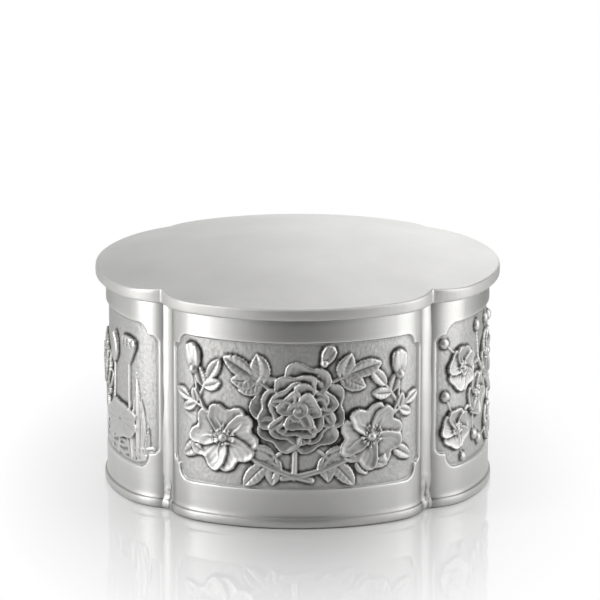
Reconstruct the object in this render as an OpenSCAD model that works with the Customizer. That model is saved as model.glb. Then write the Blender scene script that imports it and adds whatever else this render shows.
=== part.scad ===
// Rosary box of cast pewter: four bowed walls soldered at the corners, and a domed lid that lifts off.
// Millimetres. The origin is the middle of the foot's underside, +Z is up and the front wall faces -Y.

/* [Plan] */
// Width of the body across two opposite walls, above the foot
body_w = 80.7; // [76:0.1:88]
// Distance from the middle of the box to the centre of a wall's broad arc
broad_y = 1.2; // [0:0.1:2.2]
// Half of the angle that a wall's broad arc turns through
broad_angle = 31.1; // [29.5:0.1:34]
// Radius of the tight arc at each end of a wall
end_r = 11.95; // [11.2:0.05:13.5]

/* [Walls] */
// Height of the walls from the table to their top edge
body_h = 44; // [32:0.5:60]
// Thickness of a wall
wall_t = 1.8; // [1.4:0.1:2.2]
// Height of the bead along the foot
bead_h = 1.95; // [1.2:0.05:3]
// How far the bead stands out from the wall
bead_proud = 0.55; // [0.4:0.05:1]
// Height of the hollow curve between the bead and the wall
cove_h = 1.3; // [0.6:0.1:2.5]
// How far the hollow curve stands out where it meets the bead
cove_w = 0.3; // [0.1:0.05:0.38]
// How far the solder fills each corner outward, measured along the diagonal
solder_fill = 0.55; // [0.3:0.05:0.9]

/* [Panels] */
// Depth of the sunk panel in each wall
panel_depth = 0.6; // [0.3:0.05:0.9]
// Plain band between the table and the panel
low_band = 8.05; // [6:0.1:12]
// Plain band between the panel and the top edge
high_band = 5; // [3:0.1:8]
// Angle from a wall's middle at which the panel ends
panel_angle = 69; // [62:0.5:72]
// Width of the step at each corner of the panel
step_w = 2.3; // [1.5:0.1:3]
// Height of the steps at the panel's top corners
high_step = 2.4; // [1.6:0.1:4]
// Height of the steps at the panel's bottom corners
low_step = 3.2; // [2.4:0.1:5]

/* [Relief] */
// Height of the flowers over the panel's ground
flower_h = 0.9; // [0.5:0.05:1.1]
// Height of the leaves over the panel's ground
leaf_h = 0.5; // [0.3:0.05:0.8]
// How much larger or smaller than drawn the relief's pieces are
relief_size = 1; // [0.85:0.05:1.1]

/* [Lid] */
// How far the lid stands out over the walls
lid_overhang = 2.15; // [1.2:0.05:3]
// Height of the lid's rim at the middle of a side
rim_h = 2.4; // [2:0.1:4]
// Rise of the dome from the rim to its middle
dome_rise = 4.75; // [3:0.05:8]
// Thickness of the dome
dome_t = 1.8; // [1.2:0.1:2.2]
// Height of the collar that keeps the lid in place
collar_h = 4; // [2.5:0.1:6]
// Thickness of the collar
collar_t = 1; // [0.8:0.1:1.4]
// Play between the collar and the walls
collar_play = 0.5; // [0.2:0.05:0.7]
// Gap between the lid and the walls' top edges
seat_gap = 0.15; // [0.05:0.05:0.3]

/* [Floor and lining] */
// Width of the ledge inside each wall that carries the base plate
ledge_w = 1.2; // [0.8:0.1:1.6]
// Height of the ledge
ledge_h = 1.5; // [1.2:0.1:2.5]
// Thickness of the base plate
base_t = 1.5; // [1:0.1:2.5]
// Thickness of the felt under the base plate
felt_t = 0.9; // [0.5:0.1:1]
// Thickness of the velvet pad on the base plate
pad_t = 2; // [1:0.1:4]
// Thickness of the velvet strip along each wall
lining_t = 1; // [0.6:0.1:1.5]
// Clearance between the base plate and the walls
base_play = 0.1; // [0.05:0.05:0.3]
// Clearance round a piece of felt or velvet
soft_play = 0.2; // [0.1:0.05:0.3]
// Gap between the velvet strips and the collar above them
collar_room = 0.6; // [0.3:0.1:2]

/* [Hidden] */
$fn = 96;

pewter = [0.70, 0.70, 0.68];
solder_grey = [0.62, 0.62, 0.60];
velvet = [0.28, 0.03, 0.07];
felt = [0.07, 0.07, 0.08];

// Directions round the plan, in degrees
front = 0;
right = 90;
back = 180;
left = 270;

broad_r = body_w / 2 - broad_y;
end_x = (broad_r - end_r) * sin(broad_angle);
end_y = broad_y + (broad_r - end_r) * cos(broad_angle);
// A wall's tight arc is followed to where it faces across the corner
full_turn = 135 - broad_angle;
degrees_per_mm = 180 / (PI * end_r);
arc_step = 15;
// Steps of a plate's edge: half of a broad arc, and a tight arc
broad_steps = 14;
end_steps = 14;

lining_out = wall_t + soft_play;
lining_in = lining_out + lining_t;
collar_out = wall_t + collar_play;
collar_in = collar_out + collar_t;
ledge_in = wall_t + ledge_w;

seat_z = body_h + seat_gap;
collar_z = seat_z - collar_h;
base_top = ledge_h + base_t;
felt_z = ledge_h - soft_play - felt_t;
pad_z = base_top + soft_play;
lining_top = collar_z - collar_room;
panel_low = low_band;
panel_high = body_h - high_band;

// The relief is drawn on a panel of this half width and height, and its places follow the real panel's
drawn_half = 29;
drawn_high = 31;
broad_half = broad_r * broad_angle * PI / 180;
panel_half = broad_half + (panel_angle - broad_angle) / degrees_per_mm;
place_across = panel_half / drawn_half;
place_up = (panel_high - panel_low) / drawn_high;
// How far the relief's pieces are rooted in the wall behind the panel, over its thickness there
root_share = 0.58;
relief_root = root_share * (wall_t - panel_depth);
// Depth of the shapes that are cut to a layer on the curved panel
layer_reach = 4;
// A blossom's petals and heart: the petals' places and radii and the heart's radius over the blossom's
petal_place = 0.57;
petal_size = 0.43;
heart_size = 0.27;
petal_h = 0.85 * flower_h;
// The double rose's inner whorl over the outer one: its size and its height
inner_size = 0.62;
inner_h = 1.35 * flower_h;

// Main forms of the panels, in mm along the wall from its middle and up from the panel's foot
// Blossoms of five petals: along, up, radius, turn
rose = [0.4, 17.2, 9, 10];
front_blossoms = [[-15.6, 10.4, 6.8, 12], [15.8, 10.6, 6.4, 30]];
right_blossoms = [
    [-21.5, 20.6, 4.3, 10], [-14.6, 13.6, 4.2, 40], [-23.6, 8, 3.8, 25], [-6.4, 20.8, 4.6, 60],
    [-4.6, 5.4, 3.9, 5], [4, 12.6, 4.4, 33], [7.6, 23.4, 4.3, 50], [14, 15, 3.9, 70],
    [21.2, 21.4, 4.4, 20], [21, 9.4, 3.9, 15]
];
// Flowers with many narrow petals: along, up, radius
back_flowers = [
    [-18.5, 20.5, 6.4], [-10, 10.2, 5.8], [1.2, 18.6, 7.4], [12.4, 9.8, 5.7], [19.8, 20.4, 6.2]
];
ray_count = 10;
// The inner and outer ends of a narrow petal and its width, over the flower's radius
ray_from = 0.2;
ray_to = 1;
ray_width = 0.44;
// Leaves and buds: along, up, aim, length, width
front_leaves = [
    [-8.6, 24.6, 142, 7, 3.6], [10.8, 24.6, 20, 6.4, 3.4], [-8.6, 5.6, 40, 6, 3.2],
    [8.6, 5.4, 130, 6, 3.2], [-25, 17.6, 165, 6, 3.2], [25.4, 17.4, 20, 6, 3.2],
    [-22.4, 25.6, 96, 5.4, 2.8], [22.4, 25.4, 88, 5.2, 2.8]
];
// The lotus flower's petals open round its foot
lotus_foot = [1.2, 13];
lotus_aims = [-14, 12, 38, 64, 90, 116, 142, 168, 194];
lotus_from = 1.2;
lotus_to = 10.6;
lotus_width = 4;
lotus_heart = 2.4;
left_leaves = [[-11.8, 24.6, 97, 6.6, 3], [12.8, 23.2, 80, 6.2, 2.8]];
// Lotus leaves seen from the side: along, up, half width, half height
left_pads = [[-18, 16.6, 7.8, 4.4], [15.6, 8.2, 7.4, 3.8], [-14.4, 5.2, 5.4, 2.3]];
pad_sides = 16;
pad_wave = 0.05;
pad_waves = 5;
seed_pod = [20.4, 23.4, 2.6];
back_leaves = [
    [-25, 11, 80, 7, 3.2], [-22.6, 4.6, 130, 6.4, 3.2], [-2.6, 6, 60, 7, 3.2],
    [4.4, 6.4, 130, 6.6, 3.2], [21.6, 8.4, 50, 7, 3.2], [10.8, 22.4, 62, 7, 3.2],
    [-9, 24.6, 118, 6.6, 3.2], [26.2, 13.4, 96, 6, 3]
];
// The plum tree's branch: the places that it runs through, its width and height, and its knots
plum_branch = [[27, 2.4], [20, 4.6], [12.8, 7.6], [5, 9.4], [-2, 12.2], [-8, 15.8], [-13.5, 20.6]];
branch_w = 1.5;
branch_h = 0.65;
knot_r = 1.1;

crown_z = seat_z + rim_h + dome_rise;
lid_half = body_w / 2 + lid_overhang;
dome_r = (lid_half * lid_half + dome_rise * dome_rise) / (2 * dome_rise);
// Reach of the shapes that only cut
far = body_w;
past = 1;
// How far the fillet's circle bites into the walls, so that its edges end cleanly
solder_bite = 0.05;

// Where the plan's outline, moved outward by d, meets the diagonal between two walls
function corner(d) =
    let (r = end_r + d, across = end_y - end_x)
    (end_x + end_y + sqrt(2 * r * r - across * across)) / 2;

// Where a tight arc ends, as an angle from the wall's middle
function end_angle(d) = let (tip = corner(d)) atan2(tip - end_x, tip - end_y);

// Points of the plan's outline, moved outward by d
function arc_point(x, y, r, angle) = [x + r * sin(angle), y - r * cos(angle)];
function half_line(d) = concat(
    [for (i = [0:broad_steps]) arc_point(0, -broad_y, broad_r + d, broad_angle * i / broad_steps)],
    [
        for (i = [1:end_steps])
            let (angle = broad_angle + (end_angle(d) - broad_angle) * i / end_steps)
            arc_point(end_x, -end_y, end_r + d, angle)
    ]
);
function wall_line(d) =
    let (half = half_line(d), last = len(half) - 1)
    concat([for (i = [last - 1:-1:1]) [-half[i][0], half[i][1]]], half);
function outline(d) = [
    for (side = [front, right, back, left])
        for (p = wall_line(d))
            [p[0] * cos(side) - p[1] * sin(side), p[0] * sin(side) + p[1] * cos(side)]
];

// The outline of the foot, from the table up to the wall's face
bead_points = [
    for (a = [-90:arc_step:90])
        [cove_w + (bead_proud - cove_w) * cos(a), bead_h / 2 * (1 + sin(a))]
];
cove_points = [
    for (a = [arc_step:arc_step:90])
        [cove_w * (1 - sin(a)), bead_h + cove_h * (1 - cos(a))]
];

// Keeps the quarter of a shape that belongs to the front wall, short of the diagonals by gap
module front_quarter(gap = 0) {
    intersection() {
        children();
        translate([0, -gap * sqrt(2), -far])
            linear_extrude(3 * far)
                polygon([[0, 0], [far, -far], [-far, -far]]);
    }
}

// Sweeps a profile along the front wall: its x runs outward from the wall's face, its y is the height
module sweep_front(turn = full_turn) {
    translate([0, -broad_y, 0])
        rotate_extrude(angle = 2 * broad_angle, start = -90 - broad_angle)
            translate([broad_r, 0]) children();
    for (side = [0, 1])
        mirror([side, 0, 0])
            translate([end_x, -end_y, 0])
                rotate_extrude(angle = turn, start = -90 + broad_angle)
                    translate([end_r, 0]) children();
}

// A plate from z0 up to z1, whose outline is the plan's, moved outward by d
module lobed_plate(d, z0, z1) {
    translate([0, 0, z0]) linear_extrude(z1 - z0) polygon(outline(d));
}

module dome_ball(r) {
    translate([0, 0, crown_z - dome_r]) sphere(r, $fn = 720);
}

module lid_plate() {
    color(pewter)
        difference() {
            intersection() {
                lobed_plate(lid_overhang, seat_z, crown_z + past);
                dome_ball(dome_r);
            }
            intersection() {
                lobed_plate(-collar_in, seat_z - past, crown_z + past);
                dome_ball(dome_r - dome_t);
            }
        }
}

module lid_collar() {
    color(pewter)
        difference() {
            lobed_plate(-collar_out, collar_z, seat_z);
            lobed_plate(-collar_in, collar_z - past, seat_z + past);
        }
}

// The front wall's section: ledge, inner face, top edge, outer face, cove and bead
module wall_section() {
    polygon(concat(
        [[-ledge_in, 0], [-ledge_in, ledge_h], [-wall_t, ledge_h], [-wall_t, body_h], [0, body_h]],
        [for (i = [len(cove_points) - 1:-1:0]) cove_points[i]],
        [for (i = [len(bead_points) - 1:-1:0]) bead_points[i]]
    ));
}

// A band of the panel, as far as the given angle from the wall's middle
module panel_band(angle, z0, z1) {
    sweep_front(angle - broad_angle)
        translate([-panel_depth, z0]) square([panel_depth + past, z1 - z0]);
}

// The way that the front wall's panel faces at a place along it, and that place on the panel's ground
function facing(along) =
    let (run = min(abs(along), broad_half), rest = max(0, abs(along) - broad_half))
    sign(along) * (run * 180 / (PI * broad_r) + rest * degrees_per_mm);
function ground_point(along, up) =
    let (
        angle = facing(along),
        tight = abs(angle) > broad_angle,
        p = tight
            ? arc_point(sign(angle) * end_x, -end_y, end_r - panel_depth, angle)
            : arc_point(0, -broad_y, broad_r - panel_depth, angle)
    )
    [p[0], p[1], panel_low + up];
// A place that is drawn on the relief, on the real panel
function panel_point(along, up) = ground_point(along * place_across, up * place_up);

// Puts a piece of relief on the panel: its own -Y then points out of the wall
module on_panel(along, up) {
    translate(panel_point(along, up)) rotate([0, 0, facing(along * place_across)]) children();
}

// Cuts a piece of relief off where it is rooted in the wall
module rooted(reach, height) {
    intersection() {
        children();
        translate([-reach, -height - past, -reach])
            cube([2 * reach, height + past + relief_root, 2 * reach]);
    }
}

// A round boss of relief
module boss(along, up, radius, height) {
    r = radius * relief_size;
    ball = (r * r + height * height) / (2 * height);
    on_panel(along, up)
        rooted(2 * r, height)
            translate([0, ball - height, 0]) sphere(ball);
}

// A pointed leaf, petal or bud with a ridge along its middle
module leaf(along, up, aim, length, width, height = leaf_h) {
    l = length * relief_size;
    w = width * relief_size;
    // The two balls that meet in the ridge: their places aside and below, and their radius
    aside = (l * l - w * w) / (4 * w);
    below = (l * l / 4 - height * height) / (2 * height);
    ball = norm([aside + w / 2, below]);
    on_panel(along, up)
        rotate([0, -aim, 0])
            rooted(l, height)
                intersection() {
                    translate([0, below, aside]) sphere(ball);
                    translate([0, below, -aside]) sphere(ball);
                }
}

// A whorl of five round petals
module whorl(along, up, radius, turn, height) {
    for (k = [0:4]) {
        aim = turn + 72 * k;
        reach = petal_place * radius;
        boss(along + reach * cos(aim), up + reach * sin(aim), petal_size * radius, height);
    }
}

// Narrow petals that stand out from a middle
module rays(along, up, aims, from, to, width, height) {
    for (aim = aims) {
        middle = (from + to) / 2;
        leaf(along + middle * cos(aim), up + middle * sin(aim), aim, to - from, width, height);
    }
}

module blossom(along, up, radius, turn) {
    whorl(along, up, radius, turn, petal_h);
    boss(along, up, heart_size * radius, flower_h);
}

// A layer on the panel that follows the wall's curve, rooted in the wall
module layer(height) {
    sweep_front(panel_angle - broad_angle)
        translate([-panel_depth - relief_root, panel_low])
            square([relief_root + height, panel_high - panel_low]);
}

// A flat lotus leaf with a wavy edge
module pad(along, up, half_width, half_height) {
    intersection() {
        on_panel(along, up)
            rotate([90, 0, 0])
                linear_extrude(2 * half_width, center = true)
                    polygon([
                        for (k = [0:pad_sides - 1])
                            let (
                                a = 360 * k / pad_sides,
                                edge = relief_size * (1 + pad_wave * sin(pad_waves * a))
                            )
                            [half_width * edge * cos(a), half_height * edge * sin(a)]
                    ]);
        layer(leaf_h);
    }
}

// A knotted branch through places on the panel
module branch(places) {
    intersection() {
        for (i = [1:len(places) - 1]) {
            way = places[i] - places[i - 1];
            middle = (places[i] + places[i - 1]) / 2;
            on_panel(middle[0], middle[1])
                rotate([0, -atan2(way[1], way[0]), 0])
                    cube([norm(way) + branch_w, layer_reach, branch_w], center = true);
        }
        layer(branch_h);
    }
    for (place = places) boss(place[0], place[1], knot_r, flower_h);
}

module front_relief() {
    for (b = front_blossoms) blossom(b[0], b[1], b[2], b[3]);
    for (l = front_leaves) leaf(l[0], l[1], l[2], l[3], l[4]);
    whorl(rose[0], rose[1], rose[2], rose[3], petal_h);
    whorl(rose[0], rose[1], rose[2] * inner_size, rose[3] + 36, inner_h);
    boss(rose[0], rose[1], rose[2] * inner_size * heart_size, inner_h + flower_h - petal_h);
}

module right_relief() {
    branch(plum_branch);
    for (b = right_blossoms) blossom(b[0], b[1], b[2], b[3]);
}

module back_relief() {
    aims = [for (k = [0:ray_count - 1]) 360 * (k + 0.25) / ray_count];
    for (f = back_flowers) {
        rays(f[0], f[1], aims, ray_from * f[2], ray_to * f[2], ray_width * f[2], petal_h);
        boss(f[0], f[1], 1.2 * heart_size * f[2], 1.2 * flower_h);
    }
    for (l = back_leaves) leaf(l[0], l[1], l[2], l[3], l[4]);
}

module left_relief() {
    rays(lotus_foot[0], lotus_foot[1], lotus_aims, lotus_from, lotus_to, lotus_width, flower_h);
    boss(lotus_foot[0], lotus_foot[1], lotus_heart, flower_h);
    for (l = left_leaves) leaf(l[0], l[1], l[2], l[3], l[4], petal_h);
    for (p = left_pads) pad(p[0], p[1], p[2], p[3]);
    boss(seed_pod[0], seed_pod[1], seed_pod[2], flower_h);
}

// The front wall; its relief is the child
module wall() {
    step_angle = step_w * degrees_per_mm;
    color(pewter)
        union() {
            difference() {
                front_quarter() sweep_front() wall_section();
                panel_band(panel_angle, panel_low + low_step, panel_high - high_step);
                panel_band(panel_angle - step_angle, panel_low + low_step / 2, panel_high - high_step / 2);
                panel_band(panel_angle - 2 * step_angle, panel_low, panel_high);
            }
            children();
        }
}

module front_wall() { rotate(front) wall() front_relief(); }
module right_wall() { rotate(right) wall() right_relief(); }
module back_wall() { rotate(back) wall() back_relief(); }
module left_wall() { rotate(left) wall() left_relief(); }

// The fillet between the front and right walls, from the foot's cove to the top edge
module solder_run() {
    // Seen along the diagonal: a tight arc's centre, the corner, and the fillet that touches both arcs
    root = corner(0);
    along = (end_x + end_y) / sqrt(2);
    aside = (end_y - end_x) / sqrt(2);
    reach = root * sqrt(2) + solder_fill - along;
    fillet_r = (reach * reach + aside * aside - end_r * end_r) / (2 * (end_r - reach));
    heart = (along + reach + fillet_r) / sqrt(2);
    z0 = bead_h + cove_h;
    translate([0, 0, z0])
        linear_extrude(body_h - z0)
            difference() {
                polygon([[root - past, past - root], [end_x, -end_y], [heart, -heart], [end_y, -end_x]]);
                translate([end_x, -end_y]) circle(end_r, $fn = 1440);
                translate([end_y, -end_x]) circle(end_r, $fn = 1440);
                translate([heart, -heart]) circle(fillet_r + solder_bite, $fn = 720);
            }
}

module corner_solder() {
    color(solder_grey)
        for (side = [front, right, back, left]) rotate(side) solder_run();
}

module base_plate() {
    color(pewter)
        lobed_plate(-wall_t - base_play, ledge_h, base_top);
}

module base_felt() {
    color(felt)
        lobed_plate(-ledge_in - soft_play, felt_z, felt_z + felt_t);
}

module floor_pad() {
    color(velvet)
        lobed_plate(-lining_in - soft_play, pad_z, pad_z + pad_t);
}

module lining() {
    color(velvet)
        front_quarter(soft_play / 2)
            sweep_front()
                translate([-lining_in, pad_z]) square([lining_t, lining_top - pad_z]);
}

module front_lining() { rotate(front) lining(); }
module right_lining() { rotate(right) lining(); }
module back_lining() { rotate(back) lining(); }
module left_lining() { rotate(left) lining(); }

lid_plate();
lid_collar();
front_wall();
right_wall();
back_wall();
left_wall();
corner_solder();
base_plate();
base_felt();
floor_pad();
front_lining();
right_lining();
back_lining();
left_lining();
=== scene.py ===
from math import atan2, cos, degrees, pi, radians, sin, sqrt

import bpy
import numpy as np
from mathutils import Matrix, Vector

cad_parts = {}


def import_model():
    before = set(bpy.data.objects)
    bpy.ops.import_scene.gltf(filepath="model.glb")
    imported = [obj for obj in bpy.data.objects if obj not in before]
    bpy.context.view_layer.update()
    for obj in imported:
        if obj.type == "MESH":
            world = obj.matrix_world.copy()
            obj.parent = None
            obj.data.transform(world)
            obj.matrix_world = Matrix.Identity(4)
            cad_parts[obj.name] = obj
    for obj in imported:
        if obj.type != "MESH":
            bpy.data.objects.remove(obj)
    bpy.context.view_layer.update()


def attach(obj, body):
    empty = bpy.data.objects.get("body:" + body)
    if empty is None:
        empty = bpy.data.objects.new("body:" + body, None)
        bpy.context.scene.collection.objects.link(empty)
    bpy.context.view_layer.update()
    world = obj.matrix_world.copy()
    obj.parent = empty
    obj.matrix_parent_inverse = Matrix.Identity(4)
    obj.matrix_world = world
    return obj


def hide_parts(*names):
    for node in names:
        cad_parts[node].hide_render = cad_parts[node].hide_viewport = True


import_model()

# Sizes are in millimetres, as on the drawing of the box, and become metres where a mesh is made
MM = 0.001

# The plan: each of the four walls is a broad arc with a tight arc at either end
BODY_W = 80.7
BROAD_Y = 1.2
BROAD_ANGLE = 31.1
END_R = 11.95
BROAD_R = BODY_W / 2 - BROAD_Y
END_X = (BROAD_R - END_R) * sin(radians(BROAD_ANGLE))
END_Y = BROAD_Y + (BROAD_R - END_R) * cos(radians(BROAD_ANGLE))
ALONG = (END_X + END_Y) / sqrt(2)
ASIDE = (END_Y - END_X) / sqrt(2)
SIDES = {"front": 0, "right": 90, "back": 180, "left": 270}

# The walls
BODY_H = 44.0
WALL_T = 1.8
LEDGE_W = 1.2
LEDGE_H = 1.5
BEAD_H = 1.95
BEAD_PROUD = 0.55
COVE_H = 1.3
COVE_W = 0.3
TOP_EDGE_R = 0.3
SOLDER_FILLET = 4.0
# The way between two columns of points over the solder, how deep it sits under the walls' faces, and how
# far inside the corner's crease its back lies
SOLDER_STEP = 0.24
SOLDER_SUNK = 0.03
SOLDER_ROOT = 0.6
SOLDER_PITS = 4
CRACK_W = 0.16
CRACK_H = 6.8

# The sunk panel, whose corners step in
PANEL_LOW = 8.05
PANEL_HIGH = 39.0
PANEL_ANGLE = 69.0
PANEL_DEPTH = 0.6
PANEL_BEVEL = 0.34
PANEL_R = 2.7
STEP_W = 2.3
HIGH_STEP = 2.4
LOW_STEP = 3.2
STEP_R = 1.3
STEP_BLEND = 0.5
RELIEF_STEP = 0.155
RELIEF_SCALE = 0.8
PEBBLE_H = 0.012
GOLDEN_ANGLE = radians(137.508)
# Patina and painted shade: how far round a point its hollow is measured, and how strongly that darkens it.
# The two finer reaches find patina in the fine hollows, and the broadest paints shade round the feet of the
# high forms
PATINA_AND_SHADE_REACHES = ((0.3, 6.0), (0.5, 3.2), (1.1, 0.8))
# How far round a point its lips are measured, for their rubbed metal and painted highlight
WORN_HIGHLIT_REACH = 0.35

# The lid and its collar
LID_OVERHANG = 2.15
SEAT_Z = 44.15
RIM_H = 2.4
DOME_RISE = 4.75
DOME_T = 1.8
CROWN_Z = SEAT_Z + RIM_H + DOME_RISE
LID_HALF = BODY_W / 2 + LID_OVERHANG
DOME_R = (LID_HALF ** 2 + DOME_RISE ** 2) / (2 * DOME_RISE)
RIM_TOP_R = 0.55
RIM_LOW_R = 0.5
RIM_BULGE = 0.04
LID_FILLET = 0.8
COLLAR_OUT = 2.3
COLLAR_IN = 3.3
COLLAR_Z = 40.15
COLLAR_MID_Z = 42.0
COLLAR_EDGE_R = 0.2

# The bottom and the soft pieces
BASE_OUT = 1.9
BASE_TOP = 3.0
BASE_EDGE_R = 0.3
FELT_LOW = 0.4
FELT_HIGH = 1.3
FELT_GAP = 0.2
FELT_EDGE_R = 0.25
PAD_OUT = 3.2
PAD_LOW = 3.2
PAD_HIGH = 5.2
PAD_EDGE_R = 0.8
PAD_CROWN = 0.3
PAD_UNEVEN = 0.05
LINING_OUT = 2.0
LINING_IN = 3.0
LINING_LOW = 3.2
LINING_HIGH = 39.55
LINING_EDGE_R = 0.45
# What the linings leave free at the corners, in degrees
LINING_END = 0.35


def smooth(x):
    x = np.clip(x, 0, 1)
    return x * x * (3 - 2 * x)


def blur(a, radius):
    """Blurs an array by three box passes each way; radius is in samples."""
    n = max(1, int(round(radius)))
    for axis in (0, 1, 0, 1, 0, 1):
        pad = [(0, 0), (0, 0)]
        pad[axis] = (n + 1, n)
        total = np.cumsum(np.pad(a, pad, mode="edge"), axis=axis)
        high = np.take(total, np.arange(2 * n + 1, total.shape[axis]), axis=axis)
        low = np.take(total, np.arange(0, total.shape[axis] - 2 * n - 1), axis=axis)
        a = (high - low) / (2 * n + 1)
    return a


# The plan's geometry

def wall_point(angle, d):
    """A point of the front wall, d outside its face; angle is where the face looks."""
    a = np.radians(angle)
    tight = np.abs(angle) > BROAD_ANGLE
    x = np.where(tight, np.sign(angle) * END_X, 0.0)
    y = np.where(tight, -END_Y, -BROAD_Y)
    r = np.where(tight, END_R, BROAD_R) + d
    return x + r * np.sin(a), y - r * np.cos(a)


def run_length(angle):
    """The way along the wall's face from its middle."""
    broad = np.radians(np.clip(np.abs(angle), 0, BROAD_ANGLE)) * BROAD_R
    tight = np.radians(np.maximum(np.abs(angle) - BROAD_ANGLE, 0)) * END_R
    return np.sign(angle) * (broad + tight)


def tip(d):
    """How far out, in x and in y, the wall meets the diagonal, d outside its face."""
    r = END_R + d
    return (END_X + END_Y + sqrt(2 * r * r - 2 * ASIDE * ASIDE)) / 2


def end_angle(d):
    """Where the face looks at that meeting."""
    return degrees(atan2(tip(d) - END_X, tip(d) - END_Y))


def fillet_heart(d, fillet):
    """How far out on the diagonal the middle of the corner's fillet lies, d outside the walls."""
    return ALONG + sqrt((END_R + d + fillet) ** 2 - ASIDE ** 2)


def touch_angle(d, fillet):
    """Where on the tight arc the corner's fillet begins."""
    heart = fillet_heart(d, fillet) / sqrt(2)
    return degrees(atan2(heart - END_X, heart - END_Y))


def fillet_points(d, fillet, count):
    """The fillet between the front and right walls, from the one to the other."""
    heart = fillet_heart(d, fillet)
    half = atan2(ASIDE, heart - ALONG)
    turn = np.linspace(-half, half, count)
    out = heart - fillet * np.cos(turn)
    over = fillet * np.sin(turn)
    return (out + over) / sqrt(2), (over - out) / sqrt(2)


def turned(points, degrees_round):
    """Points turned round the box's middle."""
    c, s = cos(radians(degrees_round)), sin(radians(degrees_round))
    x, y = points[..., 0].copy(), points[..., 1].copy()
    points = points.copy()
    points[..., 0] = x * c - y * s
    points[..., 1] = x * s + y * c
    return points


def outline(d, z=0.0):
    """The whole plan moved outward by d, at height z, with rounded corners and always as many points."""
    ends = np.linspace(BROAD_ANGLE, touch_angle(d, LID_FILLET), 25)[1:]
    angles = np.concatenate([-ends[::-1], np.linspace(-BROAD_ANGLE, BROAD_ANGLE, 60), ends])
    x, y = wall_point(angles, d)
    corner_x, corner_y = fillet_points(d, LID_FILLET, 9)
    x = np.concatenate([x, corner_x[1:-1]])
    y = np.concatenate([y, corner_y[1:-1]])
    quarter = np.column_stack([x, y, np.full(len(x), float(z))])
    return np.concatenate([turned(quarter, side) for side in SIDES.values()])


def rounded(d, z, r, angles, side=-1, way=1):
    """Points of a section's rounded edge; side and way say on which side of d and of z it lies."""
    return [(d + side * r * (1 - cos(a)), z + way * r * (1 - sin(a))) for a in np.radians(angles)]


def outlines(points):
    """The plan at each of a section's points."""
    return [outline(*point) for point in points]


def inward(loop, share, height=None):
    """A loop drawn in towards the middle, at heights that may depend on the distance from it."""
    loop = loop * [share, share, 1]
    if height:
        loop[:, 2] = height(np.hypot(loop[:, 0], loop[:, 1]))
    return loop


# Meshes

def grid_faces(rows, columns, wrap_rows=False, wrap_columns=False):
    """Quads over rows of points."""
    r = np.arange(rows if wrap_rows else rows - 1)
    c = np.arange(columns if wrap_columns else columns - 1)
    r, c = (part.ravel() for part in np.meshgrid(r, c, indexing="ij"))
    r2, c2 = (r + 1) % rows, (c + 1) % columns
    return np.column_stack([r * columns + c, r * columns + c2, r2 * columns + c2, r2 * columns + c])


def make(name, points, quads, others, material, values=None):
    """A smooth mesh piece from points in mm, quads, other faces, and named values at the points."""
    mesh = bpy.data.meshes.new(name)
    faces = quads.tolist() + [list(face) for face in others]
    mesh.from_pydata((np.asarray(points) * MM).tolist(), [], faces)
    mesh.polygons.foreach_set("use_smooth", [True] * len(mesh.polygons))
    for label, numbers in (values or {}).items():
        layer = mesh.attributes.new(label, "FLOAT", "POINT")
        layer.data.foreach_set("value", np.asarray(numbers, np.float32).ravel())
    return put(name, mesh, material)


def put(name, mesh, material):
    """An object of a mesh and its material in the scene."""
    mesh.materials.append(material)
    piece = bpy.data.objects.new(name, mesh)
    bpy.context.scene.collection.objects.link(piece)
    return piece


def settle(piece, node, body="box"):
    """Hides the node that a piece stands for and puts the piece on the body that it rides."""
    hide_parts(node)
    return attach(piece, body)


def round_piece(name, loops, material, low_cap=False, high_cap=False, wrap=False):
    """A piece swept round the box through closed loops of points, closed at its ends by fans."""
    count = len(loops[0])
    points = np.concatenate(loops)
    quads = grid_faces(len(loops), count, wrap, True)
    fans = []
    for first, wanted in ((True, low_cap), (False, high_cap)):
        if wanted:
            loop = loops[0] if first else loops[-1]
            middle = len(points)
            points = np.vstack([points, [0, 0, loop[:, 2].mean()]])
            base = 0 if first else (len(loops) - 1) * count
            for k in range(count):
                a, b = base + k, base + (k + 1) % count
                fans.append((middle, b, a) if first else (middle, a, b))
    return make(name, points, quads, fans, material)


# Relief: a sheet of metal worked up from the panel's ground, in mm

def walk(x, y, aim, length, bend=0.0):
    """Where a path ends that starts at (x, y) towards aim and bends by 1/mm, and its aim there."""
    a = radians(aim)
    b = a + bend * length
    if abs(bend) < 1e-6:
        return x + length * cos(a), y + length * sin(a), aim
    return x + (sin(b) - sin(a)) / bend, y - (cos(b) - cos(a)) / bend, degrees(b)


def blade(q, fat, point):
    """How wide a petal or leaf is at q of its length: fat says how fast it swells, point how it ends."""
    peak = fat / (fat + point)
    return (q / peak) ** fat * ((1 - q) / (1 - peak)) ** point


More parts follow.
